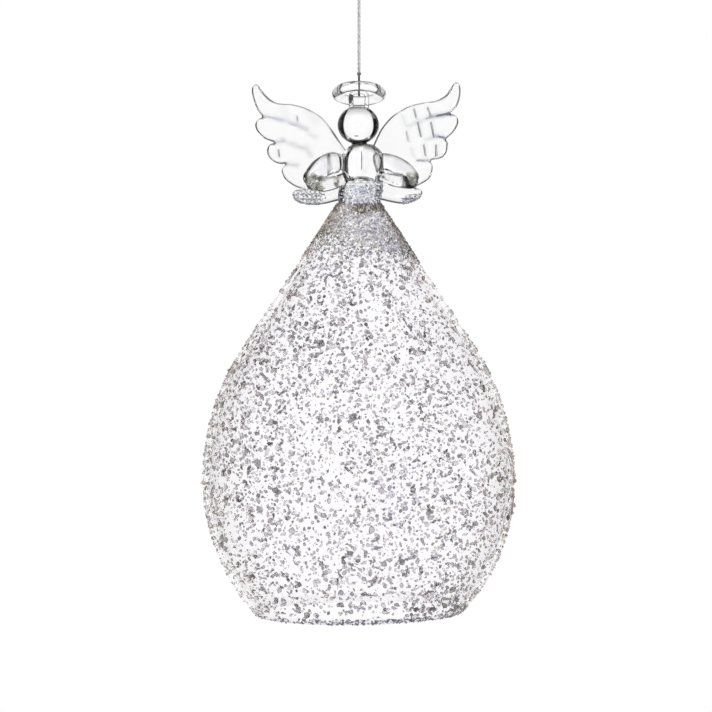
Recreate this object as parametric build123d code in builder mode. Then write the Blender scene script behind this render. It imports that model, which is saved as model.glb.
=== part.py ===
"""Clear-glass angel hanging ornament: blown granule-coated skirt, bust, arms, wings, halo and hanging thread."""

import math
import os

from build123d import *

os.makedirs("parts", exist_ok=True)

# Driving dimensions in millimetres, from the open base of the skirt upwards.
skirt_widest_radius = 42.1
skirt_widest_height = 36.2
skirt_base_radius = 27.8
skirt_neck_radius = 7.3
skirt_neck_height = 108.5
skirt_cone_angle = 33.6  # between the skirt's upper wall and its axis, in degrees
skirt_wall = 1.1
skirt_top_radius = 6.0
skirt_shoulder = 2.7  # from the neck up to the flat top
skirt_roof = 3.2  # glass left over the inside of the skirt, on the axis
rim_height = 1.6
rim_bead = 0.25  # how far the lip stands inside the wall
rim_round = 0.45
granule_thickness = 0.8
glitter_thickness = 0.45
collar_length = 13.4  # how far the fine glitter reaches below the neck

waist_radius = 5.9
waist_end_radius = 5.5
waist_length = 5.9
waist_glitter_thickness = 0.25
waist_glitter_length = 4.6

bust_radius = 5.8
bust_end_radius = 3.3
bust_length = 9.8
bust_shift = 1.05  # hand-made: the chest sits this far to the angel's +X side

neck_radius = 2.3
neck_length = 0.3  # between the chest and the foot of the head, on the axis
neck_overlap = 0.4  # how far the neck reaches up round the foot of the head
head_radius = 5.65
head_half_height = 5.15
head_shift = -0.2
head_flat = 0.05  # flattened at the crown and at the foot, where other glass is fused on

# Points of the arms: across, in depth, and up from the foot of the chest.
shoulder_points = {"left": (-4.6, 0.3, 5.3), "right": (5.6, 0.3, 4.9)}
elbow_points = {"left": (-13.0, -1.8, 1.1), "right": (13.65, -1.8, 1.3)}
forearm_start_points = {"left": (-12.1, -2.8, -0.4), "right": (13.1, -2.8, 0.3)}
hand_points = {"left": (-3.2, -4.2, 1.0), "right": (4.9, -4.2, 1.2)}
upper_arm_radii = {"left": (2.8, 2.4), "right": (2.4, 2.25)}
forearm_radii = {"left": (2.1, 1.85), "right": (2.1, 1.85)}

wing_thickness = 2.2
wing_sweep = 14.0  # how far the wings are turned back, in degrees
wing_root_x = 1.6
wing_root_y = 4.9
wing_glitter_thickness = 0.35
# Each wing as it is seen from the front, as distance outwards and height above the foot of the chest: its top edge
# from the root to the tip, then for each feather the middle of its rounded end and the notch below it.
wing_top_edges = {
    "left": [(1.6, 6.1), (4.6, 9.5), (7.5, 13.9), (13.8, 19.3), (21.8, 20.6), (26.3, 24.2), (27.9, 26.0)],
    "right": [(1.6, 6.1), (4.2, 10.2), (7.6, 15.9), (13.2, 19.9), (21.1, 21.5), (25.0, 25.2), (26.5, 26.6)],
}
wing_feathers = {
    "left": [
        ((28.7, 21.1), (26.3, 17.3)),
        ((27.8, 13.7), (22.9, 10.1)),
        ((24.7, 6.5), (21.2, 4.4)),
        ((20.6, 0.9), (15.6, -2.4)),
        ((17.0, -5.8), (12.4, -6.7)),
    ],
    "right": [
        ((27.4, 21.7), (24.7, 18.0)),
        ((26.9, 15.0), (23.4, 10.8)),
        ((23.4, 6.9), (19.3, 5.4)),
        ((19.3, 0.7), (14.9, -2.1)),
        ((16.3, -5.2), (11.7, -6.4)),
    ],
}
wing_root_bottom = (4.5, -5.0)
wing_glitter_from = {"left": 9.5, "right": 12.5}  # the glittered tip starts this far out
wing_glitter_top = -2.5

halo_radius = 5.88
halo_rod_radius = 1.4
halo_rise = 3.3  # from the crown to the middle of the halo
halo_tilt = 21.9  # front edge up, in degrees
halo_joint_angle = 114.0  # where the bridge meets the halo: at its back, on the -X side
stem_radius = 0.7

eye_rod_radius = 0.62
eye_half_width = 2.1
eye_corner_radius = 1.5
eye_rise = 3.7  # from the crown to the middle of the bar
eye_foot_sink = 0.9  # how far the legs reach into the crown before they are trimmed to it

thread_diameter = 0.85
ply_diameter = 0.42
ply_spacing = 0.5  # between the two plies where they leave a knot
bight_clearance = 0.1  # between the thread and the bar it goes round
bight_length = 4.9  # from the bar up to the lower knot
lower_knot_radius = 0.55
thread_length = 27.1  # between the two knots
top_knot_radius = 0.95
joint_gap = 0.12  # left between two thread pieces that move against each other
loop_length = 24.0  # from the top knot up to where the hook bears
loop_radius = 3.6  # of the bend that lies over the hook

# Heights above the base. The frame's origin is where the hook bears on the loop.
skirt_top_height = skirt_neck_height + skirt_shoulder
collar_height = skirt_neck_height - collar_length
bust_foot_height = skirt_top_height + waist_length
bust_top_height = bust_foot_height + bust_length
head_height = bust_top_height + neck_length + head_half_height
crown_height = head_height + head_half_height
eye_bar_height = crown_height + eye_rise
lower_knot_height = eye_bar_height + bight_length
top_knot_height = lower_knot_height + thread_length
hang_height = top_knot_height + loop_length


def level(height):
    """The Z of a height above the base."""
    return height - hang_height


def on_bust(point):
    """A point whose third number is a height above the foot of the chest, in the frame."""
    return Vector(point[0], point[1], level(bust_foot_height + point[2]))


# The skirt's outline: one arc below its widest level, one above it, then a straight cone up to the neck.
cone = math.radians(skirt_cone_angle)
lower_bulge = skirt_widest_radius - skirt_base_radius
lower_arc_radius = (lower_bulge**2 + skirt_widest_height**2) / (2 * lower_bulge)
cone_offset = skirt_neck_radius * math.cos(cone) + skirt_neck_height * math.sin(cone)
widest_offset = skirt_widest_radius * math.cos(cone) + skirt_widest_height * math.sin(cone)
upper_arc_radius = (cone_offset - widest_offset) / (1 - math.cos(cone))


def cone_start(offset):
    """The height at which the outline, moved outwards by offset, turns from arc to cone."""
    return skirt_widest_height + (upper_arc_radius + offset) * math.sin(cone)


def skirt_point(offset, height):
    """The point (radius, Z) of the skirt's outline, moved outwards by offset, at a height."""
    rise = height - skirt_widest_height
    if rise < 0:
        radius = skirt_widest_radius - lower_arc_radius + math.sqrt((lower_arc_radius + offset) ** 2 - rise**2)
    elif height <= cone_start(offset):
        radius = skirt_widest_radius - upper_arc_radius + math.sqrt((upper_arc_radius + offset) ** 2 - rise**2)
    else:
        radius = (cone_offset + offset - height * math.sin(cone)) / math.cos(cone)
    return (radius, level(height))


def draw_skirt_line(offset, low, high):
    """Draws the skirt's outline, moved outwards by offset, between two heights."""
    turns = [h for h in (skirt_widest_height, cone_start(offset)) if low < h < high]
    heights = [low, *turns, high]
    for start, end in zip(heights, heights[1:]):
        if end <= cone_start(offset):
            middle = skirt_point(offset, (start + end) / 2)
            ThreePointArc(skirt_point(offset, start), middle, skirt_point(offset, end))
        else:
            Line(skirt_point(offset, start), skirt_point(offset, end))


def draw_limb_line(length, start_radius, end_radius):
    """Draws half the outline of a tapered rod with round ends, which runs along the first direction."""
    side_angle = math.pi / 2 - math.asin((start_radius - end_radius) / length)

    def at(centre, radius, angle):
        return (centre + radius * math.cos(angle), radius * math.sin(angle))

    tail = at(0, start_radius, math.pi)
    start_side = at(0, start_radius, side_angle)
    end_side = at(length, end_radius, side_angle)
    tip = at(length, end_radius, 0)
    ThreePointArc(tail, at(0, start_radius, (math.pi + side_angle) / 2), start_side)
    Line(start_side, end_side)
    ThreePointArc(end_side, at(length, end_radius, side_angle / 2), tip)
    Line(tip, tail)


def limb_plane(start, end):
    """A plane through both points, whose first direction runs from start to end."""
    along = end - start
    return Plane(origin=start, x_dir=along, z_dir=along.cross(Vector(0, 0, 1)))


def draw_noose(foot_height, centre_height, radius):
    """Draws a ply that leaves a knot, goes round a circle and comes back, pulled tight."""
    rise = centre_height - foot_height
    upwards = math.copysign(1, rise)
    gap = ply_spacing / 2
    turn = math.atan2(gap, abs(rise)) - math.asin(radius / math.hypot(gap, rise))
    reach = radius * math.cos(turn)
    touch = level(centre_height + upwards * radius * math.sin(turn))
    Line((gap, level(foot_height)), (reach, touch))
    ThreePointArc((reach, touch), (0, level(centre_height + upwards * radius)), (-reach, touch))
    Line((-reach, touch), (-gap, level(foot_height)))


# Skirt: hollow blown glass, closed at the top and open at the base.
inside_top = skirt_neck_height - skirt_roof
with BuildPart() as skirt_shell:
    with BuildSketch(Plane.XZ):
        with BuildLine():
            draw_skirt_line(0, rim_height, skirt_neck_height)
            inner_shoulder = skirt_point(-skirt_wall, inside_top)
            inner_peak = (0, level(skirt_top_height - skirt_roof))
            Polyline(
                skirt_point(0, skirt_neck_height),
                (skirt_top_radius, level(skirt_top_height)),
                (0, level(skirt_top_height)),
                inner_peak,
            )
            RadiusArc(inner_peak, inner_shoulder, 1.2 * inner_shoulder[0])
            draw_skirt_line(-skirt_wall, rim_height, inside_top)
            Line(skirt_point(-skirt_wall, rim_height), skirt_point(0, rim_height))
        make_face()
    revolve(axis=Axis.Z)

# Lip: a flat-bottomed bead round the open base.
with BuildPart() as base_rim:
    rim_outer = skirt_point(0, rim_height)[0]
    rim_inner = skirt_point(-skirt_wall, rim_height)[0] - rim_bead
    with BuildSketch(Plane.XZ) as rim_section:
        with Locations(((rim_outer + rim_inner) / 2, level(rim_height / 2))):
            Rectangle(rim_outer - rim_inner, rim_height)
        fillet(rim_section.vertices().group_by(Axis.Y)[0], rim_round)
        fillet(rim_section.vertices().group_by(Axis.Y)[-1].sort_by(Axis.X)[0], rim_round)
    revolve(axis=Axis.Z)

# Coats on the outside of the skirt: coarse granules below, fine glitter above.
with BuildPart() as granule_coat:
    with BuildSketch(Plane.XZ):
        with BuildLine():
            draw_skirt_line(0, rim_height, collar_height)
            Line(skirt_point(0, collar_height), skirt_point(granule_thickness, collar_height))
            draw_skirt_line(granule_thickness, rim_height, collar_height)
            Line(skirt_point(granule_thickness, rim_height), skirt_point(0, rim_height))
        make_face()
    revolve(axis=Axis.Z)

with BuildPart() as glitter_collar:
    with BuildSketch(Plane.XZ):
        with BuildLine():
            draw_skirt_line(0, collar_height, skirt_neck_height)
            Polyline(
                skirt_point(0, skirt_neck_height),
                (skirt_top_radius, level(skirt_top_height)),
                (skirt_top_radius + glitter_thickness, level(skirt_top_height)),
                skirt_point(glitter_thickness, skirt_neck_height),
            )
            draw_skirt_line(glitter_thickness, collar_height, skirt_neck_height)
            Line(skirt_point(glitter_thickness, collar_height), skirt_point(0, collar_height))
        make_face()
    revolve(axis=Axis.Z)

# Waist: a barrel-shaped bead of solid glass, dusted with glitter.
with BuildPart() as waist:
    with BuildSketch(Plane.XZ):
        with BuildLine():
            foot = (waist_end_radius, level(skirt_top_height))
            crest = (waist_end_radius, level(bust_foot_height))
            ThreePointArc(foot, (waist_radius, level(skirt_top_height + waist_length / 2)), crest)
            Polyline(crest, (0, level(bust_foot_height)), (0, level(skirt_top_height)), foot)
        make_face()
    revolve(axis=Axis.Z)

upright = (Align.CENTER, Align.CENTER, Align.MIN)
with BuildPart() as waist_glitter:
    with Locations((0, 0, level(skirt_top_height))):
        Cylinder(waist_radius + waist_glitter_thickness, waist_glitter_length, align=upright)
    add(waist.part, mode=Mode.SUBTRACT)

# Chest, neck and head.
with BuildPart() as bust:
    with BuildSketch(Plane.XZ):
        with BuildLine():
            foot = (bust_shift + bust_end_radius, level(bust_foot_height))
            widest = (bust_shift + bust_radius, level(bust_foot_height + bust_length / 2))
            crest = (bust_shift + bust_end_radius, level(bust_top_height))
            Spline(foot, widest, crest, tangents=[(1, 0.9), (-1, 0.9)])
            Polyline(crest, (bust_shift, crest[1]), (bust_shift, foot[1]), foot)
        make_face()
    revolve(axis=Axis((bust_shift, 0, 0), (0, 0, 1)))

with BuildPart() as head:
    with BuildSketch(Plane.XZ):
        with Locations((head_shift, level(head_height))):
            Ellipse(head_radius, head_half_height)
            Rectangle(
                head_radius,
                2 * (head_half_height - head_flat),
                align=(Align.MIN, Align.CENTER),
                mode=Mode.INTERSECT,
            )
    revolve(axis=Axis((head_shift, 0, 0), (0, 0, 1)))

with BuildPart() as neck:
    with Locations((0, 0, level(bust_top_height))):
        Cylinder(neck_radius, neck_length + neck_overlap, align=upright)
    add(head.part, mode=Mode.SUBTRACT)

# Arms: a fat tapered upper arm out to the elbow and a forearm back to the front of the chest.
arms = {}
for side in ("left", "right"):
    arms[side] = []
    for start, end, radii in (
        (on_bust(shoulder_points[side]), on_bust(elbow_points[side]), upper_arm_radii[side]),
        (on_bust(forearm_start_points[side]), on_bust(hand_points[side]), forearm_radii[side]),
    ):
        with BuildPart() as limb:
            with BuildSketch(limb_plane(start, end)):
                with BuildLine():
                    draw_limb_line((end - start).length, *radii)
                make_face()
            revolve(axis=Axis(start, end - start))
            for neighbour in (bust, waist, *arms[side]):
                add(neighbour.part, mode=Mode.SUBTRACT)
        arms[side].append(limb)

# Wings: pressed plates of five feathers, swept back, with a glittered tip on the lowest feather.
sweep_angle = math.radians(wing_sweep)


def wing_plane(side):
    """The middle plane of a wing: its first direction runs outwards and its second one up."""
    outward = -1 if side == "left" else 1
    return Plane(
        origin=(outward * wing_root_x, wing_root_y, level(bust_foot_height)),
        x_dir=(outward * math.cos(sweep_angle), math.sin(sweep_angle), 0),
        z_dir=(math.sin(sweep_angle), -outward * math.cos(sweep_angle), 0),
    )


def on_wing(point):
    """A point given as it is seen from the front, in the coordinates of the wing's plane."""
    return ((point[0] - wing_root_x) / math.cos(sweep_angle), point[1])


wings = {}
for side in ("left", "right"):
    with BuildSketch(wing_plane(side)) as outline:
        with BuildLine():
            Spline(*[on_wing(point) for point in wing_top_edges[side]])
            start = on_wing(wing_top_edges[side][-1])
            for end_of_feather, notch in wing_feathers[side]:
                ThreePointArc(start, on_wing(end_of_feather), on_wing(notch))
                start = on_wing(notch)
            Polyline(start, on_wing(wing_root_bottom), on_wing(wing_top_edges[side][0]))
        make_face()
    with BuildPart() as wing:
        extrude(outline.sketch, amount=wing_thickness / 2, both=True)
        for neighbour in (bust, waist, waist_glitter, *arms[side]):
            add(neighbour.part, mode=Mode.SUBTRACT)
    # The glitter lies on the front face, which is the side that faces -Y.
    front = 1 if side == "right" else -1
    with BuildSketch(wing_plane(side).offset(front * wing_thickness / 2)) as glittered:
        add(outline.sketch_local)
        with Locations((on_wing((wing_glitter_from[side], 0))[0], wing_glitter_top)):
            reach = on_wing(wing_top_edges[side][-1])[0]
            Rectangle(reach, reach, align=(Align.MIN, Align.MAX), mode=Mode.INTERSECT)
    with BuildPart() as wing_glitter:
        extrude(glittered.sketch, amount=front * wing_glitter_thickness)
        for neighbour in arms[side]:
            add(neighbour.part, mode=Mode.SUBTRACT)
    wings[side] = (wing, wing_glitter)

# Halo, the eye inside it and the bridge that joins them.
halo_lean = -math.radians(halo_tilt)
halo_plane = Plane(
    origin=(0, 0, level(crown_height + halo_rise)),
    x_dir=(1, 0, 0),
    z_dir=(0, -math.sin(halo_lean), math.cos(halo_lean)),
)
with BuildPart(halo_plane) as halo_ring:
    Torus(halo_radius, halo_rod_radius)

with BuildPart() as hanging_eye:
    foot_height = crown_height - eye_foot_sink
    with BuildLine() as eye_path:
        FilletPolyline(
            (-eye_half_width, 0, level(foot_height)),
            (-eye_half_width, 0, level(eye_bar_height)),
            (eye_half_width, 0, level(eye_bar_height)),
            (eye_half_width, 0, level(foot_height)),
            radius=eye_corner_radius,
        )
    with BuildSketch(Plane(origin=eye_path.line @ 0, z_dir=eye_path.line % 0)):
        Circle(eye_rod_radius)
    sweep()
    add(head.part, mode=Mode.SUBTRACT)

joint_angle = math.radians(halo_joint_angle)
at_halo = halo_plane.from_local_coords(
    Vector(halo_radius * math.cos(joint_angle), halo_radius * math.sin(joint_angle), 0)
)
at_eye = Vector(-eye_half_width, 0, level(eye_bar_height - 2 * eye_rod_radius))
with BuildPart() as halo_stem:
    with BuildSketch(limb_plane(at_eye, at_halo)):
        with BuildLine():
            draw_limb_line((at_halo - at_eye).length, stem_radius, stem_radius)
        make_face()
    revolve(axis=Axis(at_eye, at_halo - at_eye))
    for neighbour in (halo_ring, hanging_eye, head):
        add(neighbour.part, mode=Mode.SUBTRACT)

# Thread: a bight round the eye's bar, a small knot, the twisted run, the top knot and the hook's loop.
bight_radius = eye_rod_radius + bight_clearance + ply_diameter / 2
with BuildPart() as thread_bight:
    with BuildLine(Plane.YZ) as bight_path:
        draw_noose(lower_knot_height - lower_knot_radius / 2, eye_bar_height, bight_radius)
    with BuildSketch(Plane(origin=bight_path.line @ 0, z_dir=bight_path.line % 0)):
        Circle(ply_diameter / 2)
    sweep()
    with Locations((0, 0, level(lower_knot_height))):
        Sphere(lower_knot_radius, mode=Mode.SUBTRACT)

with BuildPart(Plane.XY.offset(level(lower_knot_height))) as lower_knot:
    Sphere(lower_knot_radius)

thread_top = top_knot_height - top_knot_radius - joint_gap
with BuildPart() as hanging_thread:
    with Locations((0, 0, level(lower_knot_height))):
        Cylinder(thread_diameter / 2, thread_top - lower_knot_height, align=upright)
    add(lower_knot.part, mode=Mode.SUBTRACT)

with BuildPart(Plane.XY.offset(level(top_knot_height))) as top_knot:
    Sphere(top_knot_radius)

with BuildPart() as hanging_loop:
    with BuildLine(Plane.XZ) as loop_path:
        loop_foot = top_knot_height + top_knot_radius + joint_gap
        draw_noose(loop_foot, hang_height + ply_diameter / 2 - loop_radius, loop_radius)
    with BuildSketch(Plane(origin=loop_path.line @ 0, z_dir=loop_path.line % 0)):
        Circle(ply_diameter / 2)
    sweep()

pieces = {
    "skirt_shell": skirt_shell,
    "base_rim": base_rim,
    "granule_coat": granule_coat,
    "glitter_collar": glitter_collar,
    "waist": waist,
    "waist_glitter": waist_glitter,
    "bust": bust,
    "neck": neck,
    "head": head,
    "left_upper_arm": arms["left"][0],
    "left_forearm": arms["left"][1],
    "right_upper_arm": arms["right"][0],
    "right_forearm": arms["right"][1],
    "left_wing": wings["left"][0],
    "left_wing_glitter": wings["left"][1],
    "right_wing": wings["right"][0],
    "right_wing_glitter": wings["right"][1],
    "halo_ring": halo_ring,
    "halo_stem": halo_stem,
    "hanging_eye": hanging_eye,
    "thread_bight": thread_bight,
    "lower_knot": lower_knot,
    "hanging_thread": hanging_thread,
    "top_knot": top_knot,
    "hanging_loop": hanging_loop,
}
for name, piece in pieces.items():
    piece.part.label = name
    export_step(piece.part, f"parts/{name}.step")
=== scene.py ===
"""Looks of the clear-glass angel ornament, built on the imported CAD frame. Lengths are in millimetres."""

import math
from itertools import product

import bpy
import numpy as np
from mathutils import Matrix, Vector


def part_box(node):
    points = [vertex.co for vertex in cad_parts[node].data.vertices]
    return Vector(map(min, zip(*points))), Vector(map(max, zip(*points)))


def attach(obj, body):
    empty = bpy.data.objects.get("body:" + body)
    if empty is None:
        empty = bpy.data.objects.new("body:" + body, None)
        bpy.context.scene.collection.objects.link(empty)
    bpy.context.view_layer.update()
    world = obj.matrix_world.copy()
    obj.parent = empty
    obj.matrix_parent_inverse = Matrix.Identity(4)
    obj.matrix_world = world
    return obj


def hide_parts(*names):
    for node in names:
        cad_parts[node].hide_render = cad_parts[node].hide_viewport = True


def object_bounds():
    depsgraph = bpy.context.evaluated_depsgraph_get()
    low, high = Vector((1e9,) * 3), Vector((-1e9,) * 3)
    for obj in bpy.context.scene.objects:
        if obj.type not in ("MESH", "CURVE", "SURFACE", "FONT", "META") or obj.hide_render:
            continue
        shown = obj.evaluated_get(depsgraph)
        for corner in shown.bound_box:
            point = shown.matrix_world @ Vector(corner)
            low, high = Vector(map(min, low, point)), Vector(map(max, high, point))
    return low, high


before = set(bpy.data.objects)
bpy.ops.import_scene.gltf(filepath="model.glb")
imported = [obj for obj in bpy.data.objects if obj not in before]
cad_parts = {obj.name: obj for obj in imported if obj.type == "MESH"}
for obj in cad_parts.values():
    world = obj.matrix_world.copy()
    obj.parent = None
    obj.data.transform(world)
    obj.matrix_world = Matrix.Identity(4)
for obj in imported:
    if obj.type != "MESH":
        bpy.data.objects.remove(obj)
cad_lowest, cad_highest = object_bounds()

MM = 0.001
FULL_TURN = 2 * math.pi
UP = np.array([0, 0, 1.0])
BASE = -1.2  # heights count from a level a little above the lip of the skirt
HANG = BASE - 1000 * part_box("base_rim")[0].z  # from that level up to where the hook bears


def to_metres(points):
    """Points in millimetres, given as across, depth and height, in the frame's metres."""
    points = np.asarray(points, dtype=float).reshape(-1, 3)
    return (points - (0, 0, HANG)) * MM


def add_object(name, data, materials=()):
    obj = bpy.data.objects.new(name, data)
    bpy.context.scene.collection.objects.link(obj)
    for material in materials:
        data.materials.append(material)
    return obj


def face_along(obj, direction):
    """Turns a camera or a lamp to face along a direction."""
    obj.rotation_mode = "QUATERNION"
    obj.rotation_quaternion = direction.to_track_quat("-Z", "Y")


# ---------------- camera
aim = Vector(to_metres((-0.81, 0, 68.7))[0])
camera_distance = 1.55
camera_elevation = math.radians(4.0)
back = Vector((0, -math.cos(camera_elevation), math.sin(camera_elevation)))
camera_data = bpy.data.cameras.new("camera")
camera_data.sensor_width = 36
camera_data.lens = 290
camera_data.clip_start = 0.05
camera_data.clip_end = 60
camera = add_object("camera", camera_data)
camera.location = aim + back * camera_distance
face_along(camera, -back)
bpy.context.scene.camera = camera


# ---------------- numbers
def circle(count):
    """Angles spaced evenly round a full turn."""
    return np.arange(count) * FULL_TURN / count


def rise(values, start, width):
    """Nought below start, then climbing to one."""
    return np.clip((values - start) / width, 0, 1)


def fall(values, end, width):
    """Nought above end, and climbing to one below it."""
    return np.clip((end - values) / width, 0, 1)


def between(values, low, high, soft):
    """One between two limits, falling softly to nought towards them."""
    return rise(values, low, soft) * fall(values, high, soft)


def hump(values, middle, width):
    """One at the middle, fading to nought on both sides."""
    return np.exp(-(((values - middle) / width) ** 2))


def patch(across, up, middle_across, middle_up, wide, tall):
    """A soft spot, one in its middle."""
    return np.exp(-(((across - middle_across) / wide) ** 2) - ((up - middle_up) / tall) ** 2)


def round_axis(radius, angles, heights, across=0.0):
    """Points round the upright axis, at angles counted from the front."""
    return np.stack([across + radius * np.sin(angles), -radius * np.cos(angles), heights + 0 * angles], 1)


# ---------------- mesh tools
def mesh_from(name, vertices, faces, materials=(), smooth=True, metres=False):
    """A mesh object from points in millimetres."""
    mesh = bpy.data.meshes.new(name)
    points = np.asarray(vertices, dtype=float) if metres else to_metres(vertices)
    mesh.from_pydata(points.tolist(), [], faces)
    mesh.validate()
    mesh.polygons.foreach_set("use_smooth", [smooth] * len(mesh.polygons))
    mesh.update()
    return add_object(name, mesh, materials)


def grid_faces(rows, columns, closed_rows=False):
    """Quads between the closed rows of a grid of points."""
    faces = []
    for row in range(rows if closed_rows else rows - 1):
        below = row * columns
        above = ((row + 1) % rows) * columns
        for column in range(columns):
            beside = (column + 1) % columns
            faces.append((below + column, below + beside, above + beside, above + column))
    return faces


def lathe(profile, segments, centre=lambda h: 0.0, swell=lambda h, a: 0.0):
    """Points and faces of a turned solid whose profile starts and ends on its axis."""
    angles = circle(segments)
    inner = profile[1:-1]
    points = [round_axis(r * (1 + swell(h, angles)), angles, h, centre(h)) for r, h in inner]
    points += [[(centre(h), 0.0, h)] for _, h in (profile[0], profile[-1])]
    faces = grid_faces(len(inner), segments)
    start = len(inner) * segments
    last = start - segments
    for column in range(segments):
        beside = (column + 1) % segments
        faces.append((start, beside, column))
        faces.append((start + 1, last + column, last + beside))
    return np.concatenate(points), faces


def smooth_line(points, steps):
    """A Catmull-Rom line through points."""
    points = np.asarray(points, dtype=float)
    before = 2 * points[0] - points[1]
    after = 2 * points[-1] - points[-2]
    padded = np.concatenate([[before], points, [after]])
    made = []
    for a, b, c, d in zip(padded, padded[1:], padded[2:], padded[3:]):
        square = 2 * a - 5 * b + 4 * c - d
        cube = 3 * b - a - 3 * c + d
        for t in np.arange(steps) / steps:
            made.append(0.5 * (2 * b + (c - a) * t + square * t * t + cube * t**3))
    return np.array([*made, points[-1]])


def unit(vectors):
    """Rows of vectors, each made one long."""
    return vectors / np.linalg.norm(vectors, axis=1)[:, None]


def frames_along(path, closed=False):
    """Two directions across a path at each of its points, which turn as little as possible."""
    if closed:
        tangents = unit(np.roll(path, -1, 0) - np.roll(path, 1, 0))
    else:
        tangents = unit(np.gradient(path, axis=0))
    side = np.array([0.0, 1.0, 0.0])
    if abs(tangents[0] @ side) > 0.9:
        side = np.array([1.0, 0.0, 0.0])
    sides = []
    for tangent in tangents:
        side = side - tangent * (side @ tangent)
        side = side / np.linalg.norm(side)
        sides.append(side)
    sides = np.array(sides)
    return tangents, sides, np.cross(tangents, sides)


def tube(path, radii, around=20, closed=False):
    """Points and faces of a rod that follows a path. Its ends are round unless the path is closed."""
    radii = np.broadcast_to(np.asarray(radii, dtype=float), (len(path),))
    tangents, sides, ups = frames_along(path, closed)
    if not closed:
        turns = np.radians([12, 28, 46, 66])
        head = path[0] - tangents[0] * radii[0] * np.cos(turns)[:, None]
        tail = path[-1] + tangents[-1] * radii[-1] * np.cos(turns)[::-1, None]
        path = np.concatenate([head, path, tail])
        radii = np.concatenate([radii[0] * np.sin(turns), radii, radii[-1] * np.sin(turns)[::-1]])
        sides = np.pad(sides, ((4, 4), (0, 0)), "edge")
        ups = np.pad(ups, ((4, 4), (0, 0)), "edge")
    angles = circle(around)
    ring = np.cos(angles)[None, :, None] * sides[:, None] + np.sin(angles)[None, :, None] * ups[:, None]
    points = (path[:, None] + ring * radii[:, None, None]).reshape(-1, 3)
    faces = grid_faces(len(path), around, closed_rows=closed)
    if not closed:
        faces.append(tuple(range(around))[::-1])
        faces.append(tuple(range(len(points) - around, len(points))))
    return points, faces


def joined(parts):
    """Several sets of points and faces as one."""
    faces = []
    first = 0
    for part_points, part_faces in parts:
        faces.extend(tuple(first + i for i in face) for face in part_faces)
        first += len(part_points)
    return np.concatenate([part_points for part_points, _ in parts]), faces


def softened(obj, rounds):
    """Rounds off a mesh a little, and bakes its modifiers in."""
    soften = obj.modifiers.new("soften", "SMOOTH")
    soften.factor = 0.5
    soften.iterations = rounds
    graph = bpy.context.evaluated_depsgraph_get()
    baked = bpy.data.meshes.new_from_object(obj.evaluated_get(graph))
    obj.modifiers.clear()
    old = obj.data
    obj.data = baked
    bpy.data.meshes.remove(old)
    baked.polygons.foreach_set("use_smooth", [True] * len(baked.polygons))


def fused(name, parts, voxel, rounds, material):
    """Closed shapes melted into one skin with soft joins."""
    obj = mesh_from(name, *joined(parts), [material])
    remesh = obj.modifiers.new("melt", "REMESH")
    remesh.mode = "VOXEL"
    remesh.voxel_size = voxel * MM
    softened(obj, rounds)
    return obj


def mesh_points(obj):
    """A mesh's points, in millimetres."""
    points = np.empty(len(obj.data.vertices) * 3)
    obj.data.vertices.foreach_get("co", points)
    return points.reshape(-1, 3) / MM + (0, 0, HANG)


def set_mesh_points(obj, points):
    obj.data.vertices.foreach_set("co", to_metres(points).ravel())
    obj.data.update()


def paint(obj, colours):
    """Gives each point of a mesh its own colour."""
    layer = obj.data.color_attributes.new("tone", "FLOAT_COLOR", "POINT")
    rgba = np.ones((len(obj.data.vertices), 4))
    rgba[:, :3] = colours
    layer.data.foreach_set("color", rgba.ravel())


def assign(piece, body, slot, *nodes):
    """Says what a piece rides on and which nodes of the CAD it replaces, and hides them. The slot, what it is
    made of, is not used.
    """
    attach(piece, body)
    if nodes:
        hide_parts(*nodes)


# ---------------- materials
def feed(tree, node, values):
    """Sets a node's inputs, each to a plain value or from another node's output."""
    for name, value in values.items():
        if isinstance(value, bpy.types.NodeSocket):
            tree.links.new(value, node.inputs[name])
        else:
            node.inputs[name].default_value = value


def add_node(tree, kind, values=None, **settings):
    """A new node with its settings and inputs."""
    node = tree.nodes.new("ShaderNode" + kind)
    for name, value in settings.items():
        setattr(node, name, value)
    feed(tree, node, values or {})
    return node


def new_material(name):
    material = bpy.data.materials.new(name)
    material.use_nodes = True
    return material, material.node_tree, material.node_tree.nodes["Principled BSDF"]


def noise(tree, scale, detail, roughness=0.5):
    """A cloudy pattern fixed to the object."""
    place = add_node(tree, "TexCoord").outputs["Object"]
    values = {"Scale": scale, "Detail": detail, "Roughness": roughness, "Vector": place}
    return add_node(tree, "TexNoise", values).outputs["Fac"]


def ramp(tree, source, stops):
    """A colour that runs through the stops as the source runs from nought to one."""
    made = add_node(tree, "ValToRGB", {"Fac": source})
    elements = made.color_ramp.elements
    elements.remove(elements[0])
    for index, (place, colour) in enumerate(stops):
        element = elements.new(place) if index else elements[0]
        element.position = place
        element.color = (*np.broadcast_to(colour, 3), 1)
    return made.outputs["Color"]


def relief(tree, source, distance):
    """A bump of a depth in millimetres."""
    return add_node(tree, "Bump", {"Distance": distance * MM, "Height": source}).outputs["Normal"]


def with_paint(tree, colour):
    """A colour multiplied by the tone painted on the mesh."""
    painted = add_node(tree, "Attribute", attribute_name="tone").outputs["Color"]
    values = {"Factor": 1.0, "A": colour, "B": painted}
    return add_node(tree, "Mix", values, data_type="RGBA", blend_type="MULTIPLY").outputs["Result"]


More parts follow.
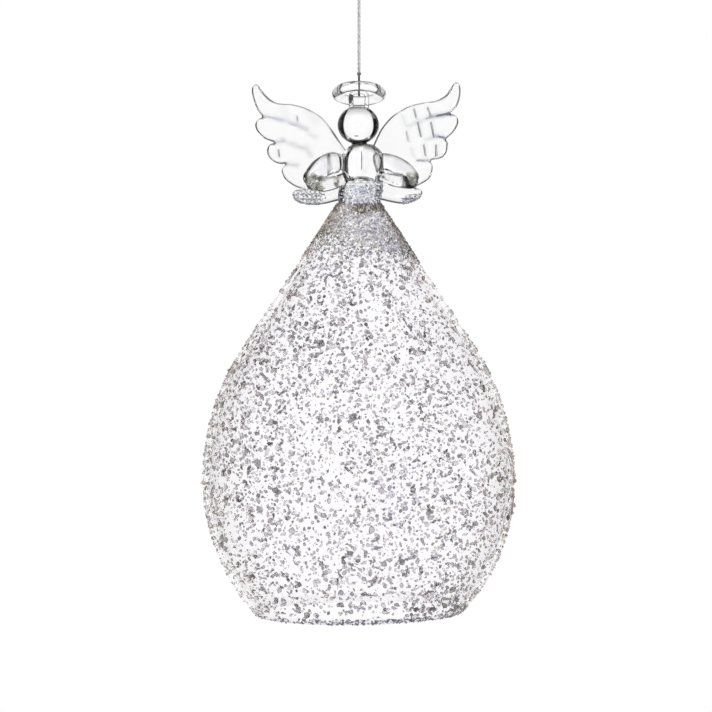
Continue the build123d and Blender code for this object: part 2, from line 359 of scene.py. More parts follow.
def glass_material(name, ripple=0.012, scale=350, tint=(0.985, 0.99, 0.985), clear=1.0, ior=1.5, own=True):
    """Clear fire-polished glass with faint ripples and streaks, multiplied by the tones painted on its mesh or
    not; those tones hold colour and painted shade.
    """
    material, tree, shader = new_material(name)
    streaks = noise(tree, scale, 2.0)
    colour = ramp(tree, streaks, [(0.3, tint), (0.7, 1.0)])
    haze = {"Value": noise(tree, 120, 4.0), "From Min": 0.35, "From Max": 0.75, "To Max": 0.03}
    values = {
        "Transmission Weight": clear,
        "IOR": ior,
        "Base Color": with_paint(tree, colour) if own else colour,
        "Roughness": add_node(tree, "MapRange", haze).outputs["Result"],
        "Normal": relief(tree, streaks, ripple),
    }
    feed(tree, shader, values)
    return material


def flake_material(name, metallic, roughness, clear=0.0, ior=1.5, speckle=2500):
    """Glitter or crushed glass: each chip carries its own painted colour, on the collar with painted light and
    shade in it, with fine mottling over it.
    """
    material, tree, shader = new_material(name)
    mottling = noise(tree, speckle, 4.0, 0.65)
    values = {
        "Metallic": metallic,
        "Roughness": roughness,
        "Transmission Weight": clear,
        "IOR": ior,
        "Base Color": with_paint(tree, ramp(tree, mottling, [(0.3, 0.62), (0.7, 1.25)])),
        "Normal": relief(tree, mottling, 0.03),
    }
    feed(tree, shader, values)
    return material


body_glass = glass_material("body_glass")
painted_shade_glass = glass_material("painted_shade_glass")
pressed_glass = glass_material("pressed_glass", 0.016, 260, clear=0.93)
lip_glass = glass_material("lip_glass", 0.03, 500, (0.95, 0.94, 0.93), 0.9, 1.14, own=False)
blown_glass = glass_material("blown_glass", 0.02, 90, (0.99, 0.977, 0.993), 1.0, 1.13, own=False)
granule_look = flake_material("silver_granules", 0.0, 0.35, 0.6, 1.13)
pebble_look = flake_material("glass_pebbles", 0.0, 0.15, 0.85, 1.16)
dust_look = flake_material("silver_dust", 0.0, 0.3, 0.8, 1.15)
glitter_look = flake_material("champagne_glitter", 0.3, 0.5)
thread_look = flake_material("silver_thread", 0.6, 0.38, speckle=4000)

# ---------------- thread, knots and loop
knot_low = 144.9
knot_high = 172.0
eye_bar = 140.0
thread_start = 139.05
loop_start = 172.95


def both_sides(half):
    """A route that comes back on the other side of the axis."""
    return half + [(-x, y, z) for x, y, z in half[::-1]]


def cord_line(name, route):
    """The smooth line of a cord: a NURBS spline with the route as its control points."""
    curve = bpy.data.curves.new(name, "CURVE")
    curve.dimensions = "3D"
    spline = curve.splines.new("NURBS")
    points = to_metres(route)
    spline.points.add(len(points) - 1)
    for point, place in zip(spline.points, points):
        point.co = (*place, 1)
    spline.order_u = 3
    spline.use_endpoint_u = True
    spline.resolution_u = 24
    holder = add_object(name, curve)
    line = bpy.data.meshes.new_from_object(holder)
    made = np.array([vertex.co[:] for vertex in line.vertices])
    bpy.data.objects.remove(holder)
    bpy.data.curves.remove(curve)
    bpy.data.meshes.remove(line)
    return made / MM + (0, 0, HANG)


def twisted(path, strand_radius, lay_radius, pitch, around=8):
    """Two strands that wind round a path."""
    runs = np.concatenate([[0], np.cumsum(np.linalg.norm(np.diff(path, axis=0), axis=1))])
    step = pitch / 18
    run = np.linspace(0, runs[-1], max(2, int(runs[-1] / step)))
    line = np.stack([np.interp(run, runs, path[:, k]) for k in range(3)], 1)
    _, sides, ups = frames_along(line)
    parts = []
    for start in (0, 0.5):
        turn = FULL_TURN * (run / pitch + start)
        wound = line + lay_radius * (np.cos(turn)[:, None] * sides + np.sin(turn)[:, None] * ups)
        parts.append(tube(wound, strand_radius, around))
    return parts


def yarn(name, parts, seed, level, low_level=None):
    """Fine metallic yarn: lighter and darker stretches along it, and darker below the lower knot, towards the
    eye.
    """
    obj = mesh_from(name, *joined(parts), [thread_look])
    points = mesh_points(obj)
    x, _, z = to_metres(points).T
    source = np.random.default_rng(seed)
    waves = source.uniform(300, 2600, 6)
    shifts = source.uniform(0, 6.28, 6)
    shade = sum(np.sin(z * wave * 2 + shift + x * 3000) for wave, shift in zip(waves, shifts)) / 6
    if low_level is not None:
        level = low_level + (level - low_level) * rise(points[:, 2], knot_low - 0.4, 0.8)
    tone = level * (1 + 0.35 * shade)
    paint(obj, np.stack([tone, tone * 0.99, tone * 0.97], 1))
    return obj


def knot(name, centre_height, radius, strand, seed, level):
    """A small tight overhand knot."""
    t = np.linspace(0, FULL_TURN, 120, endpoint=False)
    out = 2 + np.cos(3 * t)
    line = np.stack([out * np.cos(2 * t), out * np.sin(2 * t), 1.5 * np.sin(3 * t)], 1)
    line = line / 3.1 * (radius - strand) + (0, 0, centre_height)
    core = (radius - strand) * 0.62
    ball = np.linspace(0, math.pi, 14)
    profile = [(core * math.sin(a), centre_height - core * 1.25 * math.cos(a)) for a in ball]
    return yarn(name, [tube(line, strand, 10, closed=True), lathe(profile, 20)], seed, level)


thread_heights = (thread_start, 141.5, knot_low, 153, 163, 171.05)
thread_path = cord_line("thread_line", [(0, 0, h) for h in thread_heights])
bight = [(0, 0.93 * math.cos(a), eye_bar - 0.93 * math.sin(a)) for a in np.radians(np.arange(-60, 241, 15))]
bight = [(0, 0.12, knot_low), (0, 0.45, 142.2), *bight, (0, -0.45, 142.2), (0, -0.12, knot_low)]
strands = twisted(smooth_line(bight, 6), 0.17, 0.14, 1.3)
strands += twisted(thread_path[thread_path[:, 2] > knot_low - 0.3], 0.25, 0.17, 2.3, around=10)
thread = yarn("thread", strands, 3, 0.62, 0.12)
lower_knot = knot("lower_knot_piece", knot_low, 0.62, 0.2, 5, 0.18)
top_knot = knot("top_knot_piece", knot_high, 0.95, 0.3, 6, 0.2)
half_loop = [(0.25, loop_start), (1.2, 179.0), (2.6, 187.0), (3.55, 192.0), (3.3, 195.3), (1.2, 196.55)]
loop_path = cord_line("loop_line", both_sides([(x, 0, h) for x, h in half_loop]))
loop = yarn("thread_loop", twisted(loop_path, 0.115, 0.1, 1.2), 8, 0.2)

assign(thread, "thread", "silver_thread", "hanging_thread", "thread_bight")
assign(lower_knot, "thread", "silver_thread", "lower_knot")
assign(top_knot, "knot", "silver_thread", "top_knot")
assign(loop, "loop", "silver_thread", "hanging_loop")

# ---------------- skirt
skirt_widest_radius = 42.1
skirt_widest_height = 35.0
skirt_base_radius = 27.8
skirt_wall = 1.1
skirt_segments = 288
neck_radius = 7.3
neck_height = 107.3
cone = math.radians(33.6)
bulge = skirt_widest_radius - skirt_base_radius
lower_rise = skirt_widest_height - BASE
lower_arc = (bulge**2 + lower_rise**2) / (2 * bulge)
cone_offset = neck_radius * math.cos(cone) + neck_height * math.sin(cone)
widest_offset = skirt_widest_radius * math.cos(cone) + skirt_widest_height * math.sin(cone)
upper_arc = (cone_offset - widest_offset) / (1 - math.cos(cone))


def skirt_radius(height, offset=0.0):
    """How wide the skirt's outline, moved outwards by offset, is at a height."""
    up = height - skirt_widest_height
    if up < 0:
        return skirt_widest_radius - lower_arc + math.sqrt((lower_arc + offset) ** 2 - up**2)
    if up <= (upper_arc + offset) * math.sin(cone):
        return skirt_widest_radius - upper_arc + math.sqrt((upper_arc + offset) ** 2 - up**2)
    return (cone_offset + offset - height * math.sin(cone)) / math.cos(cone)


def skirt_lean(height):
    """How far the wall's outward direction points upwards, as an angle."""
    up = height - skirt_widest_height
    if up < 0:
        return math.asin(up / lower_arc)
    return min(cone, math.asin(min(1.0, up / upper_arc)))


def blown_swell(height, angle):
    """The slight unevenness of glass blown by hand."""
    wave = 0.0028 * np.sin(2 * angle + 0.02 * height + 0.6)
    wave = wave + 0.0018 * np.sin(3 * angle - 0.05 * height + 2.1) + 0.0012 * np.sin(5 * angle + 0.08 * height)
    return rise(height, 4, 30) * fall(height, 108, 40) * wave


def cut_base(points):
    """The lip was cut a little out of square: it is lower on one side."""
    near = np.clip(1 - (points[:, 2] - BASE) / 22, 0, 1) ** 2
    points[:, 2] += near * 0.5 * points[:, 0] / skirt_base_radius
    return points


outer_heights = (*np.linspace(-0.5, 104, 150), *np.linspace(104.5, neck_height, 8))
inner_heights = (*np.linspace(-0.5, 98, 140), *np.linspace(98.5, 103.2, 10))
outer = [(skirt_radius(h), h) for h in outer_heights]
inner = [(skirt_radius(h, -skirt_wall), h) for h in inner_heights]
top_cap = [(6.84, 108.0), (6.42, 108.8), (6.05, 109.5), (5.4, 109.9), (4.0, 110.0), (0, 110.0)]
dome = [(6.2, 104.6), (4.6, 105.8), (2.4, 106.6), (0, 106.8)]
lip_outside = skirt_radius(-0.6)
lip_inside = skirt_radius(-0.6, -skirt_wall)
lip = []
for angle in np.radians(np.arange(168, 11, -12)):
    out = (lip_outside + lip_inside) / 2 + (lip_outside - lip_inside) / 2 * math.cos(angle)
    lip.append((out, -0.62 - 0.58 * math.sin(angle)))
points, faces = lathe(dome[::-1] + inner[::-1] + lip + outer + top_cap, skirt_segments, swell=blown_swell)
skirt = mesh_from("blown_skirt", cut_base(points), faces, [blown_glass, lip_glass])
lip_row = len(dome) + len(inner)
in_lip = [lip_row - 3 <= min(face) // skirt_segments <= lip_row + len(lip) for face in faces]
skirt.data.polygons.foreach_set("material_index", np.array(in_lip, dtype=np.int32))
assign(skirt, "angel", "clear_glass", "skirt_shell", "base_rim")


# ---------------- granules, dust and glitter
# The functions below draw from source, which is set anew before each group of pieces.
def random_turns(count):
    """Random rotation matrices."""
    w, x, y, z = unit(source.normal(size=(count, 4))).T
    rows = [
        (1 - 2 * (y * y + z * z), 2 * (x * y - z * w), 2 * (x * z + y * w)),
        (2 * (x * y + z * w), 1 - 2 * (x * x + z * z), 2 * (y * z - x * w)),
        (2 * (x * z - y * w), 2 * (y * z + x * w), 1 - 2 * (x * x + y * y)),
    ]
    return np.stack([np.stack(row, 1) for row in rows], 1)


# A chip has twenty faces. A pebble is a chip with each face split in four and pushed out to a ball.
golden = (1 + math.sqrt(5)) / 2
corners = [np.roll((a, b * golden, 0), turn) for turn in range(3) for b in (1, -1) for a in (-1, 1)]
chip_points = np.array(corners) / math.sqrt(1 + golden**2)
chip_faces = [
    (0, 11, 5), (0, 5, 1), (0, 1, 7), (0, 7, 10), (0, 10, 11),
    (1, 5, 9), (5, 11, 4), (11, 10, 2), (10, 7, 6), (7, 1, 8),
    (3, 9, 4), (3, 4, 2), (3, 2, 6), (3, 6, 8), (3, 8, 9),
    (4, 9, 5), (2, 4, 11), (6, 2, 10), (8, 6, 7), (9, 8, 1),
]
pebble_points = [tuple(point) for point in chip_points]
pebble_faces = []
halfway = {}
for face in chip_faces:
    middles = []
    for first, second in zip(face, face[1:] + face[:1]):
        key = (min(first, second), max(first, second))
        if key not in halfway:
            middle = (chip_points[first] + chip_points[second]) / 2
            halfway[key] = len(pebble_points)
            pebble_points.append(tuple(middle / np.linalg.norm(middle)))
        middles.append(halfway[key])
    pebble_faces += [(face[k], middles[k], middles[k - 1]) for k in range(3)] + [tuple(middles)]
grain_points = np.array([(1, 0, 0), (-1, 0, 0), (0, 1, 0), (0, -1, 0), (0, 0, 1), (0, 0, -1)], dtype=float)
grain_faces = [(0, 2, 4), (2, 1, 4), (1, 3, 4), (3, 0, 4), (2, 0, 5), (1, 2, 5), (3, 1, 5), (0, 3, 5)]
chips = (chip_points, chip_faces)
pebbles = (np.array(pebble_points), pebble_faces)
grains = (grain_points, grain_faces)
flakes = (np.array([(math.cos(a), math.sin(a), 0) for a in circle(6)]), [(0, 1, 2, 3, 4, 5)])


def scatter(name, shape, places, sizes, colours, look, jitter=0.25, stretch=0.25, smooth=False):
    """Many small chips as one mesh, each one with its own size, turn, shape and colour."""
    shape_points, shape_faces = shape
    count = len(places)
    corners = len(shape_points)
    local = np.broadcast_to(shape_points, (count, corners, 3)).copy()
    local *= 1 + source.normal(0, jitter, (count, corners, 1)).clip(-0.45, 0.45)
    local *= 1 + source.normal(0, stretch, (count, 1, 3)).clip(-0.5, 0.6)
    local = np.einsum("nij,nkj->nki", random_turns(count), local)
    local = local * sizes[:, None, None] + places[:, None]
    first = np.arange(count)[:, None, None] * corners
    faces = (first + np.array(shape_faces)).reshape(-1, len(shape_faces[0]))
    obj = mesh_from(name, local, faces.tolist(), [look], smooth)
    paint(obj, np.repeat(colours, corners, 0))
    return obj


def glitter_flakes(name, places, sizes, colours, stretch=0.25):
    """Flat six-sided flakes of glitter."""
    return scatter(name, flakes, places, sizes, colours, glitter_look, 0.15, stretch)


def on_skirt(heights, angles, offset=0.0):
    """Points on the skirt's wall, or at an offset outwards from it."""
    radius = np.array([skirt_radius(h) for h in heights]) * (1 + blown_swell(heights, angles))
    lean = np.array([skirt_lean(h) for h in heights])
    outwards = round_axis(np.cos(lean), angles, np.sin(lean))
    return cut_base(round_axis(radius, angles, heights) + outwards * np.reshape(offset, (-1, 1)))


def soft_field(heights, angles):
    """A smooth random field over the skirt, about -1 to 1."""
    own_source = np.random.default_rng(7)
    centres = on_skirt(own_source.uniform(0, 108, 160), own_source.uniform(0, FULL_TURN, 160))
    weights = own_source.uniform(-1, 1, 160)
    reach = 7.0
    gap = ((on_skirt(heights, angles)[:, None] - centres[None]) ** 2).sum(2)
    near = np.exp(-gap / (2 * reach**2))
    return (near * weights).sum(1) / (near.sum(1) + 0.05)


def granule_density(heights, angles):
    """Granules lie in patches. They are thinner at the sides and thickest under the collar."""
    patches = soft_field(heights, angles)
    levels = (8, 15, 25, 36, 55, 70, 84, 93, 99)
    by_height = np.interp(heights, levels, (0.78, 0.78, 0.9, 0.93, 0.84, 0.95, 1.05, 1.25, 1.35))
    return np.clip((0.62 + 0.5 * patches - 0.34 * np.abs(np.sin(angles)) ** 5) * by_height, 0.1, 1.0)


def spread_on_skirt(count, low, high, spacing):
    """Random places on the skirt that keep apart, thinned by the density of the granules."""
    grid = np.linspace(low, high, 400)
    total = np.cumsum([skirt_radius(h) / math.cos(skirt_lean(h)) for h in grid])
    tries = count * 6
    heights = np.interp(source.uniform(0, total[-1], tries), total, grid)
    angles = source.uniform(0, FULL_TURN, tries)
    keep = source.uniform(0, 1, tries) < granule_density(heights, angles)
    heights = heights[keep]
    angles = angles[keep]
    places = on_skirt(heights, angles)
    moves = list(product((-1, 0, 1), repeat=3))
    taken = {}
    chosen = []
    for index, place in enumerate(places):
        x, y, z = (int(part) for part in place // spacing)
        others = [other for dx, dy, dz in moves for other in taken.get((x + dx, y + dy, z + dz), ())]
        if all(((places[other] - place) ** 2).sum() >= spacing**2 for other in others):
            taken.setdefault((x, y, z), []).append(index)
            chosen.append(index)
        if len(chosen) >= count:
            break
    return heights[chosen], angles[chosen]


def from_front(angles):
    """Angles from minus half a turn to half a turn."""
    return (angles + math.pi) % FULL_TURN - math.pi


def granule_colours(heights, angles, middle):
    """Silver-grey glass, a little lilac in front and a little beige towards the sides."""
    count = len(angles)
    aside = np.abs(np.sin(angles))
    tone = source.lognormal(math.log(middle), 0.3, count).clip(0.2, 0.92)
    warmth = (source.normal(-0.05, 0.45, count) + 0.9 * aside**3).clip(-1, 1.3)
    turned = from_front(angles)
    bluer = patch(turned, heights, 0.21, 35, 0.22, 10) - 0.5 * patch(turned, heights, -0.75, 40, 0.3, 20)
    side = rise(aside, 0.78, 0.2)
    red = 1.017 + 0.026 * warmth + 0.008 * side
    blue = 1.02 - 0.09 * warmth.clip(0, 1) - 0.05 * warmth.clip(-1, 0) + 0.06 * bluer - 0.03 * side
    return 1.03 * np.stack([tone * red, tone * 0.972, tone * blue], 1)


source = np.random.default_rng(11)
heights, angles = spread_on_skirt(4050, 0.4, 99, 1.1)
# A few more stand near the lip, fewest in the middle.
low_heights = source.uniform(0.3, 5.5, 120)
low_angles = source.normal(0, 0.75, 120)
sparse = (np.abs(low_angles - 0.02) < 0.2) & (low_heights < 2.2)
heights = np.concatenate([heights, low_heights[~sparse]])
angles = np.concatenate([angles, low_angles[~sparse]])
rounded = source.uniform(0, 1, len(heights)) < 0.35
granule_pieces = []
for name, chosen, shape, look, middle, size, jitter, smooth in (
    ("granules", ~rounded, chips, granule_look, 0.69, 0.42, 0.25, False),
    ("glass_pebbles", rounded, pebbles, pebble_look, 0.8, 0.45, 0.12, True),
):
    sizes = source.lognormal(math.log(size), 0.24, int(chosen.sum())).clip(0.22, 0.75)
    places = on_skirt(heights[chosen], angles[chosen], sizes * -0.2)
    colours = granule_colours(heights[chosen], angles[chosen], middle)
    granule_pieces.append(scatter(name, shape, places, sizes, colours, look, jitter, 0.28, smooth))

# Some granules clump in short curved chains.
heights = []
angles = []
for height, angle in zip(*spread_on_skirt(280, 1.0, 98, 2.6)):
    heading = source.uniform(0, FULL_TURN)
    bend = source.uniform(-0.9, 0.9)
    radius = skirt_radius(height)
    for _ in range(int(source.integers(3, 7))):
        heights.append(height)
        angles.append(angle)
        step = source.uniform(0.4, 0.65)
        height = float(np.clip(height + step * math.sin(heading), 0.3, 99))
        angle = angle + step * math.cos(heading) / radius
        heading += bend
# The lip is set with finer, bluer ones, most of them in front.
lip_count = 500
lip_angles = source.normal(0.1, 0.8, lip_count)
lip_angles[::8] = source.uniform(1.5, 4.8, len(lip_angles[::8]))
lip_heights = source.uniform(-1.15, 0.25, lip_count)
sizes = np.concatenate([source.uniform(0.26, 0.5, len(heights)), source.uniform(0.18, 0.34, lip_count)])
heights = np.concatenate([heights, lip_heights])
angles = np.concatenate([angles, lip_angles])
places = on_skirt(heights, angles, sizes * -0.1)
colours = granule_colours(heights, angles, 0.6)
colours[-lip_count:] *= (0.86, 0.87, 0.97)
granule_pieces.append(scatter("granule_clumps", chips, places, sizes, colours, granule_look))

# Fine grains fill the gaps.
heights, angles = spread_on_skirt(5200, 0.0, 100, 0.6)
sizes = source.uniform(0.15, 0.4, len(heights))
places = on_skirt(heights, angles, sizes * 0.3)
tone = source.uniform(0.7, 0.96, len(heights))[:, None]
side = rise(np.abs(np.sin(angles)), 0.7, 0.2)[:, None]
colours = tone * ((0.985, 0.95, 1.04) + side * (0.06, -0.02, -0.05))
granule_pieces.append(scatter("granule_dust", grains, places, sizes, colours, dust_look))
assign(granule_pieces[0], "angel", "silver_granules", "granule_coat")
for piece in granule_pieces[1:]:
    assign(piece, "angel", "silver_granules")


# Glitter round the top of the skirt: a thin uneven skin of glue, thick with flakes.
def collar_foot(angles):
    """The lower edge of the glitter, which runs lower on one side and is ragged."""
    ragged = 0.5 * np.sin(5 * angles + 1) + 0.35 * np.sin(11 * angles + 2.2) + 0.25 * np.sin(23 * angles)
    high_side = 1 / (1 + np.exp((np.sin(angles) + 0.32) / 0.16))
    back = np.clip(-np.cos(angles), 0, 1)
    return 94.0 + 5.2 * high_side * (1 - back) + 2.2 * back + 0.8 * ragged


def collar_colours(heights, angles):
    """Champagne at the sides and the back, cooler in front, with painted light and shade: whiter in front,
    darker on the right, dark olive under the waist and along both sides.
    """
    count = len(heights)
    turned = from_front(angles)
    # Painted light: the front is cooler and about half again as bright.
    front = np.clip(np.cos(angles - 0.35), 0, 1) ** 2
    cool = np.clip(front + source.normal(0, 0.3, count), 0, 1)
    # Painted shade in dark olive under the waist and along both sides.
    olive = 0.3 * rise(heights, 107.4, 1) + 0.6 * rise(np.abs(np.sin(angles)), 0.74, 0.2)
    olive += hump(turned, 0.05, 0.3) * rise(heights, 106.4, 1.0)
    olive += hump(turned, 0.66, 0.22) * rise(heights, 107.8, 0.6)
    olive = olive.clip(0, 1)
    # Pale and lilac patches in front, a brown one on the right.
    pale = patch(turned, heights, 0.75, 105.6, 0.35, 2.0)
    lilac = patch(turned, heights, 0.5, 106.0, 0.35, 1.8) + patch(turned, heights, -0.12, 104.6, 0.25, 1.3)
    lilac = np.clip(lilac + patch(turned, heights, 0.68, 98.8, 0.3, 2.0), 0, 1)
    brown = 0.7 * patch(turned, heights, 1.12, 102.4, 0.22, 2.4)[:, None]
    # Blotches about two millimetres wide.
    blotches = np.zeros(count)
    waves = ((31, 1.6, 0.4), (-23, 2.9, 2.0), (13, -3.4, 4.1), (-37, 2.2, 1.1), (19, 4.4, 5.2))
    for across, up, phase in waves:
        blotches += 0.45 * np.sin(across * angles + up * heights + phase)
    # Painted shade: the right side darker than the left.
    lit = (1.12 - 0.26 * np.sin(angles)) * (1 + 0.4 * pale) * (1 + 0.2 * lilac)
    lit = lit * (1 + 0.3 * blotches.clip(-1, 1))
    tone = (source.lognormal(math.log(0.62), 0.6, count) * lit).clip(0.1, 1.0)[:, None]
    cool = (np.maximum(cool, 0.85 * lilac) * (1 - olive))[:, None]
    warm_colour = (1.0, 0.94, 0.86) * (1 - olive[:, None]) + (0.45, 0.41, 0.33) * olive[:, None]
    warm_colour = warm_colour * (1 - brown) + (0.66, 0.56, 0.5) * brown
    cool_colour = (1.02, 0.99, 1.17) * (1 + 0.04 * lilac[:, None] * (0.5, -0.5, 3.0))
    return (tone * (warm_colour * (1 - cool) + cool_colour * cool * 1.45)).clip(0, 1)


source = np.random.default_rng(12)
count = 17000
collar_top = 110.2
shoulder_start = 107.8
heights = source.uniform(91.5, collar_top, count * 2)
angles = source.uniform(0, FULL_TURN, count * 2)
keep = source.uniform(0, 1, count * 2) < np.array([skirt_radius(min(h, 108.5)) for h in heights]) / 17.0
heights = heights[keep]
angles = angles[keep]
above = heights - collar_foot(angles)
thick = 0.2 + 0.8 / (1 + np.exp(-(above - 4.2)))
keep = source.uniform(0, 1, len(heights)) < thick / (1 + np.exp(-above * 1.9))
heights = heights[keep][:count]
angles = angles[keep][:count]
sizes = source.uniform(0.15, 0.33, len(heights))
lift = source.uniform(0.02, 0.35, len(heights))
places = on_skirt(np.minimum(heights, 108.4), angles, lift)
shoulder = np.interp(heights, (shoulder_start, 108.8, 109.5, 110.0), (6.97, 6.5, 6.15, 5.5))
shoulder += source.uniform(0.03, 0.2, len(heights))
on_shoulder = heights > shoulder_start
places[on_shoulder] = round_axis(shoulder, angles, np.minimum(heights, collar_top))[on_shoulder]
collar = glitter_flakes("glitter_collar_flakes", places, sizes, collar_colours(heights, angles), 0.2)

bed_look, tree, shader = new_material("glue_bed")
place = add_node(tree, "TexCoord").outputs["Object"]
speckles = add_node(tree, "TexVoronoi", {"Vector": place, "Scale": 1700}).outputs
bed_values = {
    "Metallic": 0.3,
    "Roughness": 0.4,
    "Base Color": ramp(tree, speckles["Color"], [(0.15, (0.33, 0.31, 0.285)), (0.85, (0.99, 0.965, 0.96))]),
    "Normal": relief(tree, speckles["Distance"], 0.12),
}
feed(tree, shader, bed_values)
rows = 40
around = 160
angles = circle(around)
foot = collar_foot(angles) + 4.0
bed_points = []
for share in np.arange(rows) / (rows - 1):
    lift = 0.16 * math.sin(math.pi * min(1, share * 6) / 2) + 0.02
    bed_points.append(on_skirt(foot + (107.0 - foot) * share, angles, lift))
for radius, height in ((6.88, 108.0), (6.5, 108.8), (6.15, 109.5), (5.5, 110.0)):
    bed_points.append(round_axis(radius, angles, height))
bed = mesh_from("glitter_bed", np.concatenate(bed_points), grid_faces(len(bed_points), around), [bed_look])
assign(collar, "angel", "champagne_glitter", "glitter_collar")
assign(bed, "angel", "champagne_glitter")

# ---------------- waist, chest, neck, head and arms, melted into one
waist_foot = 110
waist_half = 5.5
waist_bulge = 0.4
bust_foot = 115.9
bust_top = 126.3
bust_middle = 1.05
bust_half = 5.8
neck_half = 1.9
head_middle = 131.12
head_half = 5.65
head_tall = 5.2


def column_centre(height):
    """The glass leans a little: the chest sits to one side of the head."""
    known = (108, 112, 118, 124, 125.9, 126.2, 140)
    return float(np.interp(height, known, (0.0, 0.1, bust_middle, bust_middle, 0.9, -0.2, -0.2)))


# The outline from the foot of the waist up to the crown, as radius and height.
column = [(0, 109.3), (4.6, 109.35), (waist_half, 109.7)]
for t in np.linspace(0.02, 0.98, 18):
    column.append((waist_half + waist_bulge * math.sin(math.pi * t), waist_foot + 5.6 * t))
column += [(5.1, 115.8), (5.0, 115.98)]
for t in np.linspace(0.03, 0.99, 44):
    reach = math.sqrt(max(0.0, 1 - ((t - 0.5) / 0.5) ** 2)) if t > 0.5 else 1 - 0.12 * ((0.5 - t) / 0.5) ** 2
    if reach > 0.36:
        column.append((bust_half * reach, bust_foot + 0.2 + (bust_top - bust_foot) * t))
column.append((neck_half, 126.22))
for angle in np.linspace(math.asin(neck_half / head_half), math.pi, 70)[:-1]:
    column.append((head_half * math.sin(angle), head_middle - head_tall * math.cos(angle)))
column.append((0, head_middle + head_tall))

# Each rod is a row of points, every one with the rod's radius there last. The first two make the left arm.
arm_rods = [
    [
        (-3.2, 0.4, 121.2, 2.2), (-4.9, 0.1, 121.2, 2.2), (-6.3, 0.0, 121.0, 2.9),
        (-8.2, -0.3, 120.6, 2.95), (-10.6, -1.0, 119.2, 2.8), (-12.8, -1.9, 117.0, 2.35),
    ],
    [
        (-12.3, -2.7, 115.6, 2.1), (-9.4, -3.6, 115.3, 2.05),
        (-6.4, -3.9, 115.8, 1.75), (-3.1, -2.3, 117.3, 1.4),
    ],
    [(3.9, 0.7, 121.4, 2.2), (8.3, -0.3, 121.0, 2.3), (11.6, -1.1, 119.4, 2.4), (14.0, -1.9, 117.2, 2.2)],
    [(14.0, -2.9, 115.9, 1.95), (10.6, -3.9, 116.1, 1.75), (7.8, -3.8, 116.8, 1.6), (4.8, -2.2, 117.6, 1.4)],
    [(13.8, -2.3, 116.9, 2.1), (11.6, -2.2, 118.0, 1.6)],
]
parts = [lathe(column, 160, column_centre)]
for rod in arm_rods:
    rod = smooth_line(rod, 10)
    parts.append(tube(rod[:, :3], rod[:, 3], 32))
body = fused("body_glass", parts, 0.14, 6, body_glass)

# The chest is flatter than round, and a fine crease runs down its front.
points = mesh_points(body)
px, py, pz = points.T
flatter = between(pz, 115.0, 126.6, 2.5) * fall(np.abs(px - bust_middle), 7.5, 2.0)
py *= 1 - 0.3 * flatter
chest = rise(pz, 117.0, 2.5) * fall(pz, 126.2, 1.5) * (py < -2)
crease = 0.3 * hump(px, 0.45, 0.3)
lobes = 0.16 * hump(np.abs(px - 0.75), 2.4, 1.5)
py += chest * (crease - lobes)
set_mesh_points(body, points)

# Colour in the glass: olive-grey elbows, and dark seams where pieces were melted together. Painted shade
# besides: the dark rim and crescents of the head, a dark band at the neck, a greyer chest with a dark band
# down its right edge, dark edges to the waist and dark spots where the forearms meet the body.
in_front = np.clip(-py / 1.5, 0, 1)


def blob(*spot):
    """A soft spot on the front view of the body."""
    return patch(px, pz, *spot)


mottle = (0.5 + 0.5 * np.sin(px * 6.1 + 2 * np.sin(pz * 5.2)) * np.cos(px * 2.3 - pz * 4.1))[:, None]
elbow_colour = np.array([0.09, 0.088, 0.072]) + mottle**1.5 * np.array([0.5, 0.5, 0.44])
left_elbow = fall(pz - 0.25 * np.sin(px * 3), 117.8, 0.4) * fall(px - 0.5 * np.sin(pz * 2.6), -9.1, 0.9)
left_elbow *= 1 - 0.9 * blob(-11.5, 116.3, 0.6, 0.5) - 0.7 * blob(-12.7, 115.2, 0.35, 0.6)
right_elbow = fall(pz - 0.2 * np.sin(px * 3), 118.0, 0.4) * rise(px, 12.5, 0.6)
cuff_depth = 0.7 + 0.3 * np.cos((pz - 117.6) * 1.1)
from_bust = np.hypot((px - bust_middle) / bust_half, (np.maximum(pz, 121.3) - 121.3) / 5.1)
in_bust = fall(from_bust, 0.8, 0.2) * between(pz, 117, 127, 1.5) * in_front
from_head = np.hypot(px + 0.14, pz - head_middle) / head_tall
lift_angle = np.degrees(np.arctan2(pz - head_middle, px + 0.14))
on_head = in_front * (from_head < 1.05)
crescent = rise(from_head, 0.77 + 0.1 * rise(lift_angle, 0, 45), 0.03)
forearm_seam = hump(pz + 0.43 * (px - 6.8), 116.8, 0.22)
